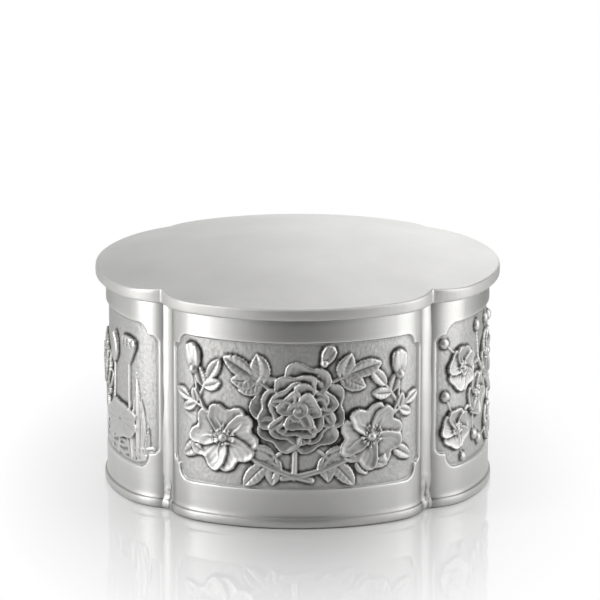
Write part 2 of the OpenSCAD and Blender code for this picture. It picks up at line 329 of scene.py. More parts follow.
class Relief:
    """x runs along the wall, y up, and h is the height over the ground, which each stroke raises."""

    def __init__(self, x, y, h, base=0.0, lean=0.0):
        self.x, self.y, self.h = x, y, h
        self.plane = base + lean * y

    def turned(self, x, y, turn=0.0, squash=1.0, lean=0.0, base=0.0):
        """The same relief in the coordinates of a flower at (x, y): turned, foreshortened and leaning."""
        c, s = cos(radians(turn)), sin(radians(turn))
        dx, dy = self.x - x, self.y - y
        return Relief(dx * c + dy * s, (dy * c - dx * s) / squash, self.h, base, lean)

    def along(self, x, y, aim, bend):
        """The way along and across a path that starts at (x, y) towards aim and bends by 1/mm."""
        c, s = cos(radians(aim)), sin(radians(aim))
        dx, dy = self.x - x, self.y - y
        run, off = dx * c + dy * s, dy * c - dx * s
        if abs(bend) < 1e-6:
            return run, off
        round_run = np.arctan2(run * bend, 1 - off * bend) / bend
        return round_run, (1 - np.hypot(run * bend, 1 - off * bend)) / bend

    def raise_to(self, inside, height):
        np.copyto(self.h, np.maximum(self.h, height + self.plane), where=inside)

    def sink(self, x, y, r, level):
        """Clears the place of a flower, so that no stem shows through its petals."""
        inside = (self.x - x) ** 2 + (self.y - y) ** 2 < r * r
        np.copyto(self.h, np.minimum(self.h, level), where=inside)

    def dent(self, x, y, r, depth):
        away = ((self.x - x) ** 2 + (self.y - y) ** 2) / (r * r)
        self.h -= depth * smooth(1.25 - away) * (away < 1.25)

    def petal(self, x, y, aim, length, width, z0=0.2, z1=0.7, bend=0.0, fat=0.62, blunt=0.4, cup=0.25,
              lip=0.12, tilt=0.0, notch=0.0, ruffle=0.0, veins=5, vein=0.02, seed=0):
        """A cupped petal from its root at height z0 to its tip at z1, with a raised lip round its edge."""
        s, t = self.along(x, y, aim, bend)
        side = np.clip(t / (width / 2), -1.5, 1.5)
        q = s / (length * (1 - notch * np.exp(-(side / 0.28) ** 2)))
        inside = (q > 0) & (q < 1)
        q = np.clip(q, 1e-4, 1 - 1e-4)
        wave = 1 + ruffle * (np.sin(9 * q + seed) + 0.6 * np.sin(17 * q + 2.3 * seed + 1.7 * np.sign(t)))
        half = width / 2 * blade(q, fat, blunt) * wave
        inside &= np.abs(t) < half
        e = np.clip(t / np.maximum(half, 1e-3), -1, 1)
        rim = np.minimum(half - np.abs(t), (1 - q) * length * 0.8)
        h = z0 + (z1 - z0) * q + tilt * e
        h -= cup * (1 - e * e) * smooth(q * 2.2)
        h += lip * np.exp(-(rim / (0.09 * width)) ** 2)
        h += vein * np.cos(pi * veins * e) * smooth((1 - np.abs(e)) * 3) * smooth(q * 3)
        h -= 0.12 * np.exp(-(rim / 0.14) ** 2)
        self.raise_to(inside, h)

    def leaf(self, x, y, aim, length, width, z0=0.15, z1=0.35, bend=0.0, fold=0.25, teeth=9, tooth=0.1,
             fat=0.75, point=0.85, veins=6, tilt=0.0):
        """A toothed leaf, folded along its midrib and puffed between its side veins."""
        s, t = self.along(x, y, aim, bend)
        q = s / length
        inside = (q > 0) & (q < 1)
        q = np.clip(q, 1e-4, 1 - 1e-4)
        half = width / 2 * blade(q, fat, point) * (1 + tooth * (0.5 - (q * teeth) % 1.0))
        inside &= np.abs(t) < half
        a = np.abs(t) / np.maximum(half, 1e-3)
        puff = np.sin(pi * ((q * veins - 0.55 * a) % 1.0)) ** 0.7
        h = z0 + (z1 - z0) * smooth(q) + tilt * np.sign(t) * a
        h += fold * (1 - (1 - a) ** 2) * (0.55 + 0.45 * np.sin(pi * q))
        h += 0.09 * puff * smooth(a * 4) * smooth((1 - a) * 3)
        h -= 0.1 * np.exp(-(t / 0.16) ** 2) + 0.1 * np.exp(-((half - np.abs(t)) / 0.13) ** 2)
        self.raise_to(inside, h)

    def stem(self, x, y, aim, length, r0=0.45, r1=0.3, bend=0.0, z=0.1, knots=0):
        """A round stem that tapers from r0 to r1; it gives back where it ends."""
        s, t = self.along(x, y, aim, bend)
        q = np.clip(s / length, 0, 1)
        r = r0 + (r1 - r0) * q
        if knots:
            r = r * (1 + 0.22 * np.cos(2 * pi * knots * q) ** 8)
        over = np.maximum(0, np.maximum(-s, s - length))
        away = t * t + over * over
        self.raise_to(away < r * r, z + 1.1 * np.sqrt(np.maximum(r * r - away, 0)))
        return walk(x, y, aim, length, bend)

    def link(self, x0, y0, x1, y1, r0=0.4, r1=0.3, bend=0.0, z=0.1, knots=0):
        """A stem between two places."""
        reach = sqrt((x1 - x0) ** 2 + (y1 - y0) ** 2)
        turn = np.arcsin(bend * reach / 2)
        length = reach if abs(bend) < 1e-6 else 2 * turn / bend
        aim = degrees(atan2(y1 - y0, x1 - x0) - turn)
        return self.stem(x0, y0, aim, length, r0, r1, bend, z, knots)

    def ball(self, x, y, r, z, high=1.0):
        away = (self.x - x) ** 2 + (self.y - y) ** 2
        self.raise_to(away < r * r, z + high * np.sqrt(np.maximum(r * r - away, 0)))

    def furl(self, x, y, r, turns, z, rise, ridge, start=0.0):
        """A rose's heart: each turn of the petal's edge stands over the next one inside."""
        dx, dy = self.x - x, self.y - y
        rho = np.hypot(dx, dy)
        part = (rho / r * turns - np.arctan2(dy, dx) / (2 * pi) + start) % 1.0
        wall = part ** 1.6 * smooth((1 - part) * 5)
        self.raise_to(rho < r, z + rise * (1 - rho / r) + ridge * wall * (0.6 + 0.4 * rho / r))

    def round_leaf(self, x, y, r, seed):
        """A lotus leaf: a wavy dish with eleven veins running out from its middle."""
        dx, dy = self.x - x, self.y - y
        rho, phi = np.hypot(dx, dy), np.arctan2(dy, dx)
        edge = r * (1 + 0.06 * (np.sin(5 * phi + seed) + 0.5 * np.sin(9 * phi + 2 * seed)))
        q = rho / edge
        ray = np.abs(((phi * 11 / (2 * pi) + 0.12 * np.sin(3 * q + seed)) % 1.0) - 0.5) * 2
        h = 0.2 + 0.35 * q ** 2 * (1 + 0.5 * np.sin(3 * phi + seed)) + 0.16 * q * np.sin(phi - 0.6)
        h += 0.07 * smooth((ray - 0.12) * 2.2) * smooth(q * 3) * smooth((1 - q) * 6)
        h += 0.1 * np.exp(-((1 - q) * r / 0.4) ** 2) - 0.12 * np.exp(-((1 - q) * r / 0.14) ** 2)
        h -= 0.16 * np.exp(-(rho / (0.1 * r)) ** 2)
        self.raise_to(q < 1, h)


# Flowers and leaves

def stamens(flower, count, near, far, z, dice):
    for k in range(count):
        aim = 360 * k / count + dice.uniform(-6, 6)
        reach = dice.uniform(near, far)
        x, y, _ = flower.stem(0, 0, aim, reach, 0.13, 0.1, z=z)
        flower.ball(x, y, 0.24, z + 0.12)


def rose(relief, x, y, size, turn, squash, lean, seed):
    """A double rose: three whorls of cupped petals round a furled heart."""
    dice = np.random.default_rng(seed)
    flower = relief.turned(x, y, turn, squash, lean, 0.25)
    flower.sink(0, 0, size * 0.8, 0.2)
    # Each whorl's reach and width over the flower's size, and its petals' heights at root and tip
    for reach, wide, z0, z1 in ((1.0, 0.98, 0.05, 0.6), (0.8, 0.9, 0.3, 0.95), (0.6, 0.8, 0.6, 1.25)):
        start = dice.uniform(0, 360)
        for k in range(5):
            aim = start + 72 * k + dice.uniform(-6, 6)
            flower.petal(0, 0, aim, size * reach * dice.uniform(0.94, 1.05), size * wide, z0, z1,
                         blunt=0.24, cup=0.6, lip=0.3, tilt=0.34 * dice.choice([-1, 1]),
                         bend=dice.uniform(-0.02, 0.02), notch=0.06, ruffle=0.035, veins=7, vein=0.015,
                         seed=k + seed)
    for k in range(3):
        flower.petal(0, 0, 120 * k + dice.uniform(0, 30), size * 0.42, size * 0.62, 0.9, 1.5,
                     fat=0.5, blunt=0.2, cup=0.4, lip=0.25, tilt=0.15)
    flower.furl(0, 0, size * 0.24, 1.6, 0.85, 0.3, 0.6, start=dice.uniform(0, 1))


def wild_rose(relief, x, y, size, turn, squash=1.0, lean=0.0, base=0.3, seed=1, notch=0.13,
              ruffle=0.035, blunt=0.22):
    """An open flower of five petals with stamens."""
    dice = np.random.default_rng(seed)
    flower = relief.turned(x, y, turn, squash, lean, base)
    flower.sink(0, 0, size * 0.75, 0.2)
    for k in range(5):
        flower.petal(0, 0, 72 * k + dice.uniform(-5, 5), size, size * 1.14, 0.15, 0.8, blunt=blunt,
                     cup=0.42, lip=0.26, tilt=0.22, notch=notch, ruffle=ruffle, veins=7, seed=k + seed)
    stamens(flower, 20, size * 0.2, size * 0.36, 0.45, dice)
    flower.ball(0, 0, size * 0.14, 0.5)


def rose_bud(relief, x, y, aim, size):
    """A half-open bud with its sepals; its stalk ends at (x, y)."""
    bud = relief.turned(x, y, aim, base=0.2)
    bud.petal(size * 0.1, 0, 0, size, size * 0.7, 0.3, 0.6, fat=0.5, blunt=0.42, cup=-0.4, lip=0.05,
              veins=0)
    # The outer petals: place, turn, length and width over the size, height and tilt
    for off, turn, reach, wide, low, tilt in ((0.06, 6, 0.95, 0.45, 0.5, 0.15),
                                              (-0.08, -9, 0.85, 0.4, 0.55, -0.15)):
        bud.petal(size * 0.12, size * off, turn, size * reach, size * wide, low, 0.75, fat=0.5, blunt=0.45,
                  cup=-0.25, lip=0.1, tilt=tilt, veins=0)
    for side in (-34, 30, -4):
        bud.leaf(size * 0.1, 0, side, size * 0.72, size * 0.26, 0.6, 0.7, teeth=3, tooth=0.02, fold=0.08,
                 veins=0, bend=-0.004 * side)
    bud.ball(size * 0.12, 0, size * 0.19, 0.5)


def spray(relief, x, y, aim, length, size, bend, pairs=2, seed=0):
    """A rose's leaf: leaflets in pairs along a stalk, and one at its end."""
    dice = np.random.default_rng(seed)
    for k in range(pairs):
        at_x, at_y, way = walk(x, y, aim, length * (0.3 + 0.5 * (k + 0.5) / pairs), bend)
        for side in (-1, 1):
            relief.leaf(at_x, at_y, way + side * dice.uniform(46, 62), size * dice.uniform(0.8, 0.98),
                        size * 0.6 * 0.92, 0.2, 0.2 + dice.uniform(0.2, 0.5), bend=-0.05 * side,
                        tilt=0.14 * side)
    end_x, end_y, way = relief.stem(x, y, aim, length, 0.36, 0.28, bend, z=0.05)
    relief.leaf(end_x, end_y, way, size * 1.15, size * 0.6, 0.2 + 0.1, 0.2 + 0.5, bend=bend)


def branch(relief, x, y, aim, length, r0, r1, bend, sprays):
    """A stem with leaves: each has a place along the stem, an angle off it, a leaflet's size and pairs."""
    for number, (place, off, size, pairs) in enumerate(sprays):
        at_x, at_y, way = walk(x, y, aim, length * place, bend)
        spray(relief, at_x, at_y, way + off, size * (0.55 + 0.35 * pairs), size, 0.02 * np.sign(off), pairs,
              seed=number + int(10 * abs(x)))
    return relief.stem(x, y, aim, length, r0, r1, bend)


def lotus(relief, x, y, size, seed):
    """A lotus seen from the side: a fan of pointed petals, the back ones first."""
    dice = np.random.default_rng(seed)
    flower = relief.turned(x, y, base=0.3)
    flower.sink(0, size * 0.35, size * 0.6, 0.2)
    # Each ring's petals, spread in degrees, reach over the size, and heights at root and tip
    for count, spread, reach, z0, z1 in ((7, 152, 1.0, 0.1, 0.5), (6, 130, 0.9, 0.35, 0.75),
                                         (5, 94, 0.76, 0.6, 1.0)):
        for k in sorted(range(count), key=lambda k: -abs(k - (count - 1) / 2)):
            aim = 90 + spread * (k / (count - 1) - 0.5) + dice.uniform(-3, 3)
            flower.petal(0, 0, aim, size * reach * dice.uniform(0.95, 1.04), size * 0.42, z0, z1, fat=0.8,
                         blunt=0.62, cup=0.36, lip=0.16, bend=0.03 * np.sign(90 - aim),
                         tilt=0.14 * np.sign(aim - 90), vein=0.025)
    for aim in (205, -25, 172, 8):
        flower.petal(0, size * 0.02, aim, size * 0.74, size * 0.38, 0.45, 0.75, fat=0.7, blunt=0.6, cup=0.3,
                     lip=0.16, bend=0.06 * (1 if aim > 90 else -1))
    flower.petal(0, -size * 0.04, 90, size * 0.6, size * 0.5, 0.85, 1.2, fat=0.6, blunt=0.62, cup=0.3,
                 lip=0.14, vein=0.025)


def lotus_bud(relief, x, y, aim, size):
    bud = relief.turned(x, y, aim, base=0.2)
    for side, low in ((12, 0.35), (-12, 0.4), (0, 0.6)):
        bud.petal(0, 0, side, size, size * 0.5, low, low + 0.2, blunt=0.75, cup=-0.35, lip=0.05, vein=0.025,
                  bend=-0.006 * side)


def seed_pod(relief, x, y, aim, size):
    """A lotus pod: a fluted cup whose flat top, seen aslant, holds the seeds."""
    pod = relief.turned(x, y, aim, base=0.2)
    pod.petal(0, 0, 0, size, size * 0.98, 0.25, 0.75, fat=0.8, blunt=0.1, cup=-0.3, lip=0.0, veins=9,
              vein=0.04)
    top = pod.turned(size * 0.84, 0, 90, 0.42, base=0.2)
    top.ball(0, 0, size * 0.5, 0.75, high=0.1)
    for k in range(9):
        r = size * 0.36 * (0 if k == 0 else 1 if k % 2 else 0.62)
        a = 2 * pi * k / 8
        top.dent(r * cos(a), r * sin(a), size * 0.09, 0.3)


def reed(relief, x, y, aim, length, width, bend):
    relief.petal(x, y, aim, length, width, 0.25, 0.6, bend=bend, fat=0.3, blunt=0.7, cup=0.2, lip=0.12,
                 tilt=0.14, veins=3)


def ripples(relief, low, high):
    """Soft waves along the panel's foot."""
    for k, y in enumerate(np.linspace(low, high, 4)):
        crest = y + 0.35 * np.sin(relief.x * 0.55 + 1.9 * k) + 0.15 * np.sin(relief.x * 1.3 + k)
        off = relief.y - crest
        relief.raise_to(np.abs(off) < 0.5, 0.3 * np.cos(pi * np.clip(off, -0.5, 0.5)) + 0.02)


def chrysanthemum(relief, x, y, size, turn, squash, seed):
    """A flower of many narrow petals in three rings round a button of florets."""
    dice = np.random.default_rng(seed)
    count = 17
    flower = relief.turned(x, y, turn, squash, base=0.25)
    flower.sink(0, 0, size * 0.85, 0.2)
    for ring, (reach, z0, z1) in enumerate(((1.0, 0.05, 0.45), (0.84, 0.3, 0.75), (0.64, 0.6, 1.05))):
        for k in range(count):
            aim = 360 * (k + 0.5 * ring) / count + dice.uniform(-4, 4)
            flower.petal(0, 0, aim, size * reach * dice.uniform(0.9, 1.06), size * (0.3 - 0.036 * ring), z0,
                         z1 + dice.uniform(-0.06, 0.06), bend=dice.uniform(-0.05, 0.05), fat=0.9, blunt=0.3,
                         cup=0.26, lip=0.08, tilt=dice.uniform(-0.1, 0.1), veins=3)
    flower.ball(0, 0, size * 0.27, 0.5, high=0.35)
    for k in range(50):
        r = size * 0.25 * sqrt((k + 0.5) / 50)
        a = GOLDEN_ANGLE * k
        flower.ball(r * cos(a), r * sin(a), 0.22, 0.95 + 0.3 * (1 - r / (size * 0.25)))


def lobed_leaf(relief, x, y, aim, length, bend, seed):
    """A chrysanthemum's leaf: three pairs of toothed lobes and a long one at the end."""
    dice = np.random.default_rng(seed)
    for k, place in enumerate((0.32, 0.55, 0.78)):
        at_x, at_y, way = walk(x, y, aim, length * place, bend)
        for side in (-1, 1):
            relief.leaf(at_x, at_y, way + side * dice.uniform(34, 50), length * (0.52 - 0.1 * k),
                        length * 0.26, 0.2, 0.2 + 0.3, bend=0.04 * side, teeth=3, tooth=0.25, fat=0.6,
                        point=0.5, veins=3)
    relief.leaf(x, y, aim, length * 1.08, length * 0.3, 0.2 + 0.1, 0.2 + 0.45, bend=bend, teeth=4,
                tooth=0.2, fat=0.5, point=0.5, veins=4)


def round_bud(relief, x, y, aim, r):
    """A plum's bud: a ball in three sepals."""
    at_x, at_y, _ = walk(x, y, aim, r)
    relief.ball(at_x, at_y, r, 0.35, high=0.75)
    for side in (-42, 42, 0):
        relief.leaf(x, y, aim + side, r * 1.35, r * 0.8, 0.6, 0.85, teeth=2, tooth=0.0, fold=0.1, veins=0)


# The four panels: x from -29 to 29, y from 0 to 31. The main forms lie where the solids have them

def front_design(relief):
    """A garland of roses: a double one in the middle and an open one at either side."""
    for *place, seed in ((-5.6, 21.0, 140, 4.6, 6.4, 0.02, 1), (7.4, 22.6, 24, 4.2, 6.2, -0.02, 12),
                         (-3.0, 8.0, 214, 4.4, 6.0, 0.03, 5), (4.4, 8.2, -36, 4.2, 5.8, -0.03, 6)):
        spray(relief, *place, seed=seed)
    left = branch(relief, 3.0, 1.9, 168, 22, 0.7, 0.55, -0.022, [(0.74, 24, 5.2, 1), (0.96, 62, 5.4, 1)])
    right = branch(relief, -3.0, 2.4, 6, 23, 0.68, 0.52, 0.024, [(0.6, -30, 4.6, 1), (0.92, -58, 5.0, 1)])
    relief.stem(-0.6, 2.4, 88, 10, 0.62, 0.55)
    # A side branch goes on from the end of either, with a bud
    for (x, y, aim), turn, length, r0, r1, bend, sprays, bud in (
            (left, -5, 13.6, 0.5, 0.36, -0.05, [(0.42, 34, 4.2, 1), (0.62, -46, 4.8, 1)], 5.6),
            (right, 10, 12.6, 0.48, 0.34, 0.06, [(0.36, -30, 4.2, 1), (0.6, 50, 4.8, 1)], 5.4)):
        rose_bud(relief, *branch(relief, x, y, aim + turn, length, r0, r1, bend, sprays), bud)
    rose_bud(relief, *relief.stem(4.4, 24, 62, 2.4, 0.4, 0.3, 0.02), 4.2)
    wild_rose(relief, 15.8, 10.6, 7.0, turn=30, squash=0.94, lean=0.015, seed=4)
    wild_rose(relief, -15.6, 10.4, 7.4, turn=12, squash=0.92, lean=-0.015, seed=9)
    rose(relief, 0.4, 16.8, 9.8, turn=10, squash=0.94, lean=-0.015, seed=5)


def left_design(relief):
    """A pond: a lotus with its leaves, buds and pod among reeds."""
    ripples(relief, 0.8, 3.6)
    # Reeds: place of the root along the wall, aim, length, width and bend
    for x, aim, length, width, bend in (
            (-27, 84, 12, 1.7, 0.02), (-25.4, 96, 9, 1.5, -0.03), (-23.8, 76, 7, 1.3, 0.04),
            (-7.5, 88, 8, 1.4, -0.03), (-5.5, 106, 11, 1.6, 0.03), (7.5, 72, 8, 1.5, -0.05),
            (20.6, 108, 9, 1.4, -0.04), (22.4, 96, 15, 1.6, -0.02), (23.6, 86, 19, 1.8, 0.01),
            (24.6, 78, 14, 1.5, 0.03), (25.2, 66, 8, 1.3, 0.06)):
        reed(relief, x, 1.0, aim, length, width, bend)
    # Stalks: place of the root along the wall, the upper end, thickness and bend
    for x0, x1, y1, r, bend in ((-17.6, -18.0, 14.0, 0.5, 0.01), (1.6, 1.2, 14.0, 0.56, 0.01),
                                (14.6, 15.6, 7.0, 0.5, 0.02), (-9.2, -11.4, 21.6, 0.46, -0.008),
                                (10.2, 12.3, 20.4, 0.46, 0.01), (21.4, 20.3, 21.2, 0.5, -0.008)):
        relief.link(x0, 1.0, x1, y1, r, 0.82 * r, bend)
    for x, y, half_width, half_height, seed in ((-18.0, 16.6, 8.4, 4.7, 2), (15.6, 8.2, 7.8, 4.0, 5),
                                                (-14.4, 5.2, 5.8, 2.5, 7)):
        leaf = relief.turned(x, y, 4, half_height / half_width, base=0.28)
        leaf.sink(0, 0, half_width * 0.75, 0.2)
        leaf.round_leaf(0, 0, half_width, seed)
    lotus(relief, 1.2, 13.0, 11.2, seed=3)
    lotus_bud(relief, -11.4, 21.2, 97, 7.2)
    lotus_bud(relief, 12.3, 20.0, 80, 6.8)
    seed_pod(relief, 20.3, 20.8, 88, 6.0)


# The plum's main branch, from its thick end
PLUM_BRANCH = [(27.6, 1.8), (20, 4.6), (12.8, 7.6), (5, 9.4), (-2, 12.2), (-8, 15.8), (-13.5, 20.6)]


def right_design(relief):
    """A branch of plum blossom."""
    radii = np.linspace(1.35, 0.5, len(PLUM_BRANCH))
    for k, (start, end) in enumerate(zip(PLUM_BRANCH, PLUM_BRANCH[1:])):
        relief.link(*start, *end, radii[k], radii[k + 1], 0.02 * (-1) ** k, knots=2)
        relief.ball(*end, radii[k + 1] * 1.2, 0.1, high=1.1)
    # Twigs: start, end, thickness, bend and the radius of the bud at the end
    for x0, y0, x1, y1, r, bend, bud in (
            (20, 4.6, 21.4, 19, 0.5, 0.02, 0), (12.8, 7.6, 8, 21.5, 0.55, -0.03, 0),
            (-8, 15.8, -16.8, 13.2, 0.5, 0.03, 0), (-16, 13.4, -24.4, 8.6, 0.42, 0.02, 0),
            (-13.5, 20.6, -22, 21, 0.45, -0.03, 0), (-2, 12.2, -4.8, 5.6, 0.45, 0.04, 0),
            (-8, 15.8, -6.6, 20.8, 0.4, 0.03, 0), (21.2, 14.5, 26.4, 18.4, 0.34, 0.04, 1.2),
            (11, 15, 14, 21.5, 0.36, -0.04, 1.2), (9, 19.5, 1.4, 26.2, 0.38, 0.03, 1.25),
            (5.4, 22.6, -0.6, 20, 0.28, 0.05, 1), (-13.5, 20.6, -14.6, 27.2, 0.34, 0.03, 1.2),
            (-22, 21.6, -26.4, 26, 0.3, 0.03, 1.15), (-5.2, 5, -12.2, 3.6, 0.36, -0.05, 1.2),
            (-16.6, 11, -16.2, 6.2, 0.3, 0.04, 1.15), (-24.4, 8.4, -26.4, 14.4, 0.3, 0.05, 1.1),
            (5, 9.4, 6.4, 3.8, 0.36, -0.05, 1.2), (-22.4, 5.6, -21.6, 2.4, 0.26, 0.05, 1),
            (20.6, 21.8, 17, 27, 0.3, 0.05, 1.15), (22.6, 22, 26, 25.6, 0.28, 0.05, 1.05),
            (-5.6, 22, -7.6, 27.4, 0.28, 0.05, 1.05)):
        _, _, aim = relief.link(x0, y0, x1, y1, r, 0.7 * r, bend, knots=4)
        if bud:
            round_bud(relief, x1, y1, aim, bud)
    for k, (x, y, size, turn) in enumerate((
            (-21.5, 20.6, 4.7, 10), (-14.6, 13.6, 4.6, 40), (-23.6, 8, 4.2, 25), (-6.4, 20.8, 5.0, 60),
            (-4.6, 5.4, 4.3, 5), (4, 12.6, 4.8, 33), (7.6, 23.4, 4.7, 50), (14, 15, 4.3, 70),
            (21.2, 21.4, 4.8, 20), (21, 9.4, 4.3, 15))):
        wild_rose(relief, x, y, size, turn, base=0.22, seed=20 + k, notch=0.03, ruffle=0.015, blunt=0.26)


def back_design(relief):
    """Chrysanthemums with their leaves."""
    # Stalks: place of the root along the wall, the upper end and bend
    for x0, x1, y1, bend in ((-20, -18.5, 20, -0.02), (-8, -10, 10, 0.02), (1.6, 1.2, 18, 0.01),
                             (11, 12.4, 9, -0.02), (21.4, 19.8, 20, 0.02), (-3.4, -6.6, 24, 0.02),
                             (7.4, 9.8, 23, -0.02)):
        relief.link(x0, 1.0, x1, y1, 0.52, 0.4, bend)
    # Leaves: where each starts, its aim, length and bend
    for k, (x, y, aim, length, bend) in enumerate((
            (-25.6, 7.4, 80, 8.6, -0.02), (-20, 2.4, 140, 8.4, -0.04), (-19.4, 6, 30, 7, 0.04),
            (-4.6, 2.6, 62, 8, 0.04), (6.8, 3.4, 130, 8, -0.03), (14.2, 3, 20, 8, 0.03),
            (21, 5.2, 50, 8.8, 0.05), (9.2, 19.4, 62, 8.6, -0.02), (-7.6, 21.4, 118, 8.4, 0.03),
            (26.2, 10, 96, 8.2, 0.02), (-26.2, 22, 84, 6.4, 0.02), (-12.2, 15.4, 150, 5.6, 0.03),
            (13.4, 16, 40, 5.6, -0.03), (2.6, 25, 74, 5, 0.02), (-12.4, 1.6, 160, 5, 0.03))):
        lobed_leaf(relief, x, y, aim, length, bend, k)
    for k, (x, y, size, turn, squash) in enumerate(((-18.5, 20.5, 7.0, 5, 1.0), (-10, 10.2, 6.4, 15, 0.92),
                                                    (1.2, 18.6, 8.0, 0, 1.0), (12.4, 9.8, 6.2, 40, 0.94),
                                                    (19.8, 20.4, 6.8, 10, 1.0))):
        chrysanthemum(relief, x, y, size, turn, squash, 2 + k)


DESIGNS = {"front": front_design, "right": right_design, "back": back_design, "left": left_design}


# The walls

def panel_edge(s, z):
    """How far a point of the wall's face is outside the panel; negative inside it."""
    half = float(run_length(PANEL_ANGLE))
    edges = []
    # The tall, narrow part with its rounded corners, and the low, broad part between the steps
    for reach, low, high, r in ((half - STEP_W, PANEL_LOW, PANEL_HIGH, PANEL_R),
                                (half, PANEL_LOW + LOW_STEP, PANEL_HIGH - HIGH_STEP, STEP_R)):
        qx = np.abs(s) - reach + r
        qz = np.abs(z - (low + high) / 2) - (high - low) / 2 + r
        edges.append(np.hypot(np.maximum(qx, 0), np.maximum(qz, 0)) + np.minimum(np.maximum(qx, qz), 0) - r)
    # Joined with a small fillet where the step turns
    gap = np.clip(0.5 + 0.5 * (edges[1] - edges[0]) / STEP_BLEND, 0, 1)
    return edges[1] * (1 - gap) + edges[0] * gap - STEP_BLEND * gap * (1 - gap)


def wall_rows():
    """The wall's section as offsets from its face and heights: up outside, over the top and down inside."""
    rows = [(BEAD_PROUD * 0.55, 0.0)]
    for a in np.radians(np.linspace(-75, 90, 12)):
        rows.append((COVE_W + (BEAD_PROUD - COVE_W) * cos(a), BEAD_H / 2 * (1 + sin(a))))
    for a in np.radians(np.linspace(15, 90, 6)):
        rows.append((COVE_W * (1 - sin(a)), BEAD_H + COVE_H * (1 - cos(a))))
    rows += [(0.0, z) for z in (3.6, 4.3, 5.2, 6.1, 6.9)]
    rows += [(0.0, z) for z in np.arange(PANEL_LOW - 0.6, PANEL_HIGH + 0.6, RELIEF_STEP)]
    rows += [(0.0, z) for z in (40.2, 41.2, 42.4, BODY_H - TOP_EDGE_R)]
    rows += rounded(0.0, BODY_H, TOP_EDGE_R, (30, 60, 90), way=-1)
    rows += rounded(-WALL_T, BODY_H, TOP_EDGE_R, (90, 60, 30, 0), side=1, way=-1)
    rows += [(-WALL_T, z) for z in (30.0, 15.0, LEDGE_H)]
    rows += [(-WALL_T - LEDGE_W, LEDGE_H), (-WALL_T - LEDGE_W, 0.0)]
    return np.array(rows)


def wall_angles(rows):
    """Where each point of the wall looks: a relief step apart over the panel, then on to the diagonals."""
    broad = int(round(2 * radians(BROAD_ANGLE) * BROAD_R / RELIEF_STEP))
    tight = int(round(radians(PANEL_ANGLE - BROAD_ANGLE) * END_R / RELIEF_STEP))
    ends = np.linspace(BROAD_ANGLE, PANEL_ANGLE, tight + 1)[1:]
    inner = np.concatenate([-ends[::-1], np.linspace(-BROAD_ANGLE, BROAD_ANGLE, broad + 1), ends])
    margin = np.linspace(0, 1, 8)[1:]
    angles = []
    for d in rows[:, 0]:
        rest = PANEL_ANGLE + (end_angle(d) - PANEL_ANGLE) * margin
        angles.append(np.concatenate([-rest[::-1], inner, rest]))
    return np.array(angles)


def panel(side, s, z):
    """The form of a wall's face with its panel and relief, and what the pewter has to know of it."""
    edge = panel_edge(s, z)
    height = np.zeros_like(s)
    DESIGNS[side](Relief(s, z - PANEL_LOW, height))
    height *= RELIEF_SCALE * smooth((-edge - 0.3) / 0.25)
    height = 0.6 * height + 0.4 * blur(height, 1)
    # The ground is finely pebbled
    ground = smooth((-edge - 0.15) / 0.2) * smooth(1 - height / 0.08)
    pebble = blur(np.random.default_rng(SIDES[side] + 5).normal(size=height.shape), 1)
    height += PEBBLE_H * ground * np.clip(pebble / pebble.std(), -2, 2)
    form = height - PANEL_DEPTH * smooth((0.12 - edge) / PANEL_BEVEL)
    # Patina lies in the fine hollows, and painted shade lies round the feet of the high forms; the lips come
    # out lighter, as rubbed metal and as a painted highlight
    free_of_patina_and_shade = 1 - 0.1 * smooth(height / 0.15)
    for reach, strength in PATINA_AND_SHADE_REACHES:
        free_of_patina_and_shade *= 1 - np.clip(-strength * (form - blur(form, reach / RELIEF_STEP)) - 0.08, 0, 0.9)
    hollow = (1 - free_of_patina_and_shade) * (0.3 + 0.7 * smooth((-edge - 0.3) / 0.7))
    # The lips are lighter: rubbed metal, and past the bare pewter's tone a painted highlight
    worn_and_highlit = np.clip(4.0 * (form - blur(form, WORN_HIGHLIT_REACH / RELIEF_STEP)), 0, 1)
    return form, {"hollow": hollow, "ground": ground, "worn_and_highlit": worn_and_highlit}


def wall_shell(name, side, points, material, values=None):
    """A closed shell with flat ends from rows of points along the front wall, turned to its side."""
    count, columns = points.shape[:2]
    ends = [[r * columns for r in range(count)], [(r + 1) * columns - 1 for r in range(count)][::-1]]
    return make(name, turned(points, SIDES[side]).reshape(-1, 3), grid_faces(count, columns, wrap_rows=True),
                ends, material, values)


def wall(side, material):
    """A wall casting with its relief, between two diagonals."""
    rows = wall_rows()
    angles = wall_angles(rows)
    d, z = (np.repeat(part[:, None], angles.shape[1], 1) for part in rows.T)
    # The panel lies on the rows of the outer face
    first = int(np.argmax(rows[:, 1] > PANEL_LOW - 0.7))
    last = int(np.argmax(rows[:, 1] >= PANEL_HIGH + 0.4))
    face = slice(first, last + 1)
    form, skin = panel(side, run_length(angles[face]), z[face])
    d[face] += form
    values = {}
    for name, numbers in skin.items():
        values[name] = np.zeros_like(d)
        values[name][face] = numbers
    # Painted shade also darkens the crease over the foot's bead, the underside of the bead and the wall
    # towards the corners
    crease = 0.5 * np.exp(-((z - BEAD_H) / 0.2) ** 2) + 0.6 * smooth((0.35 - z) / 0.3)
    corner = 0.5 * smooth((np.abs(angles) - 62) / 18)
    outside = rows[:, :1] > -0.1
    values["hollow"] = np.minimum(values["hollow"] + outside * (crease + corner), 1)
    x, y = wall_point(angles, d)
    piece = wall_shell(side + "_wall_casting", side, np.stack([x, y, z], -1), material, values)
    settle(piece, side + "_wall")


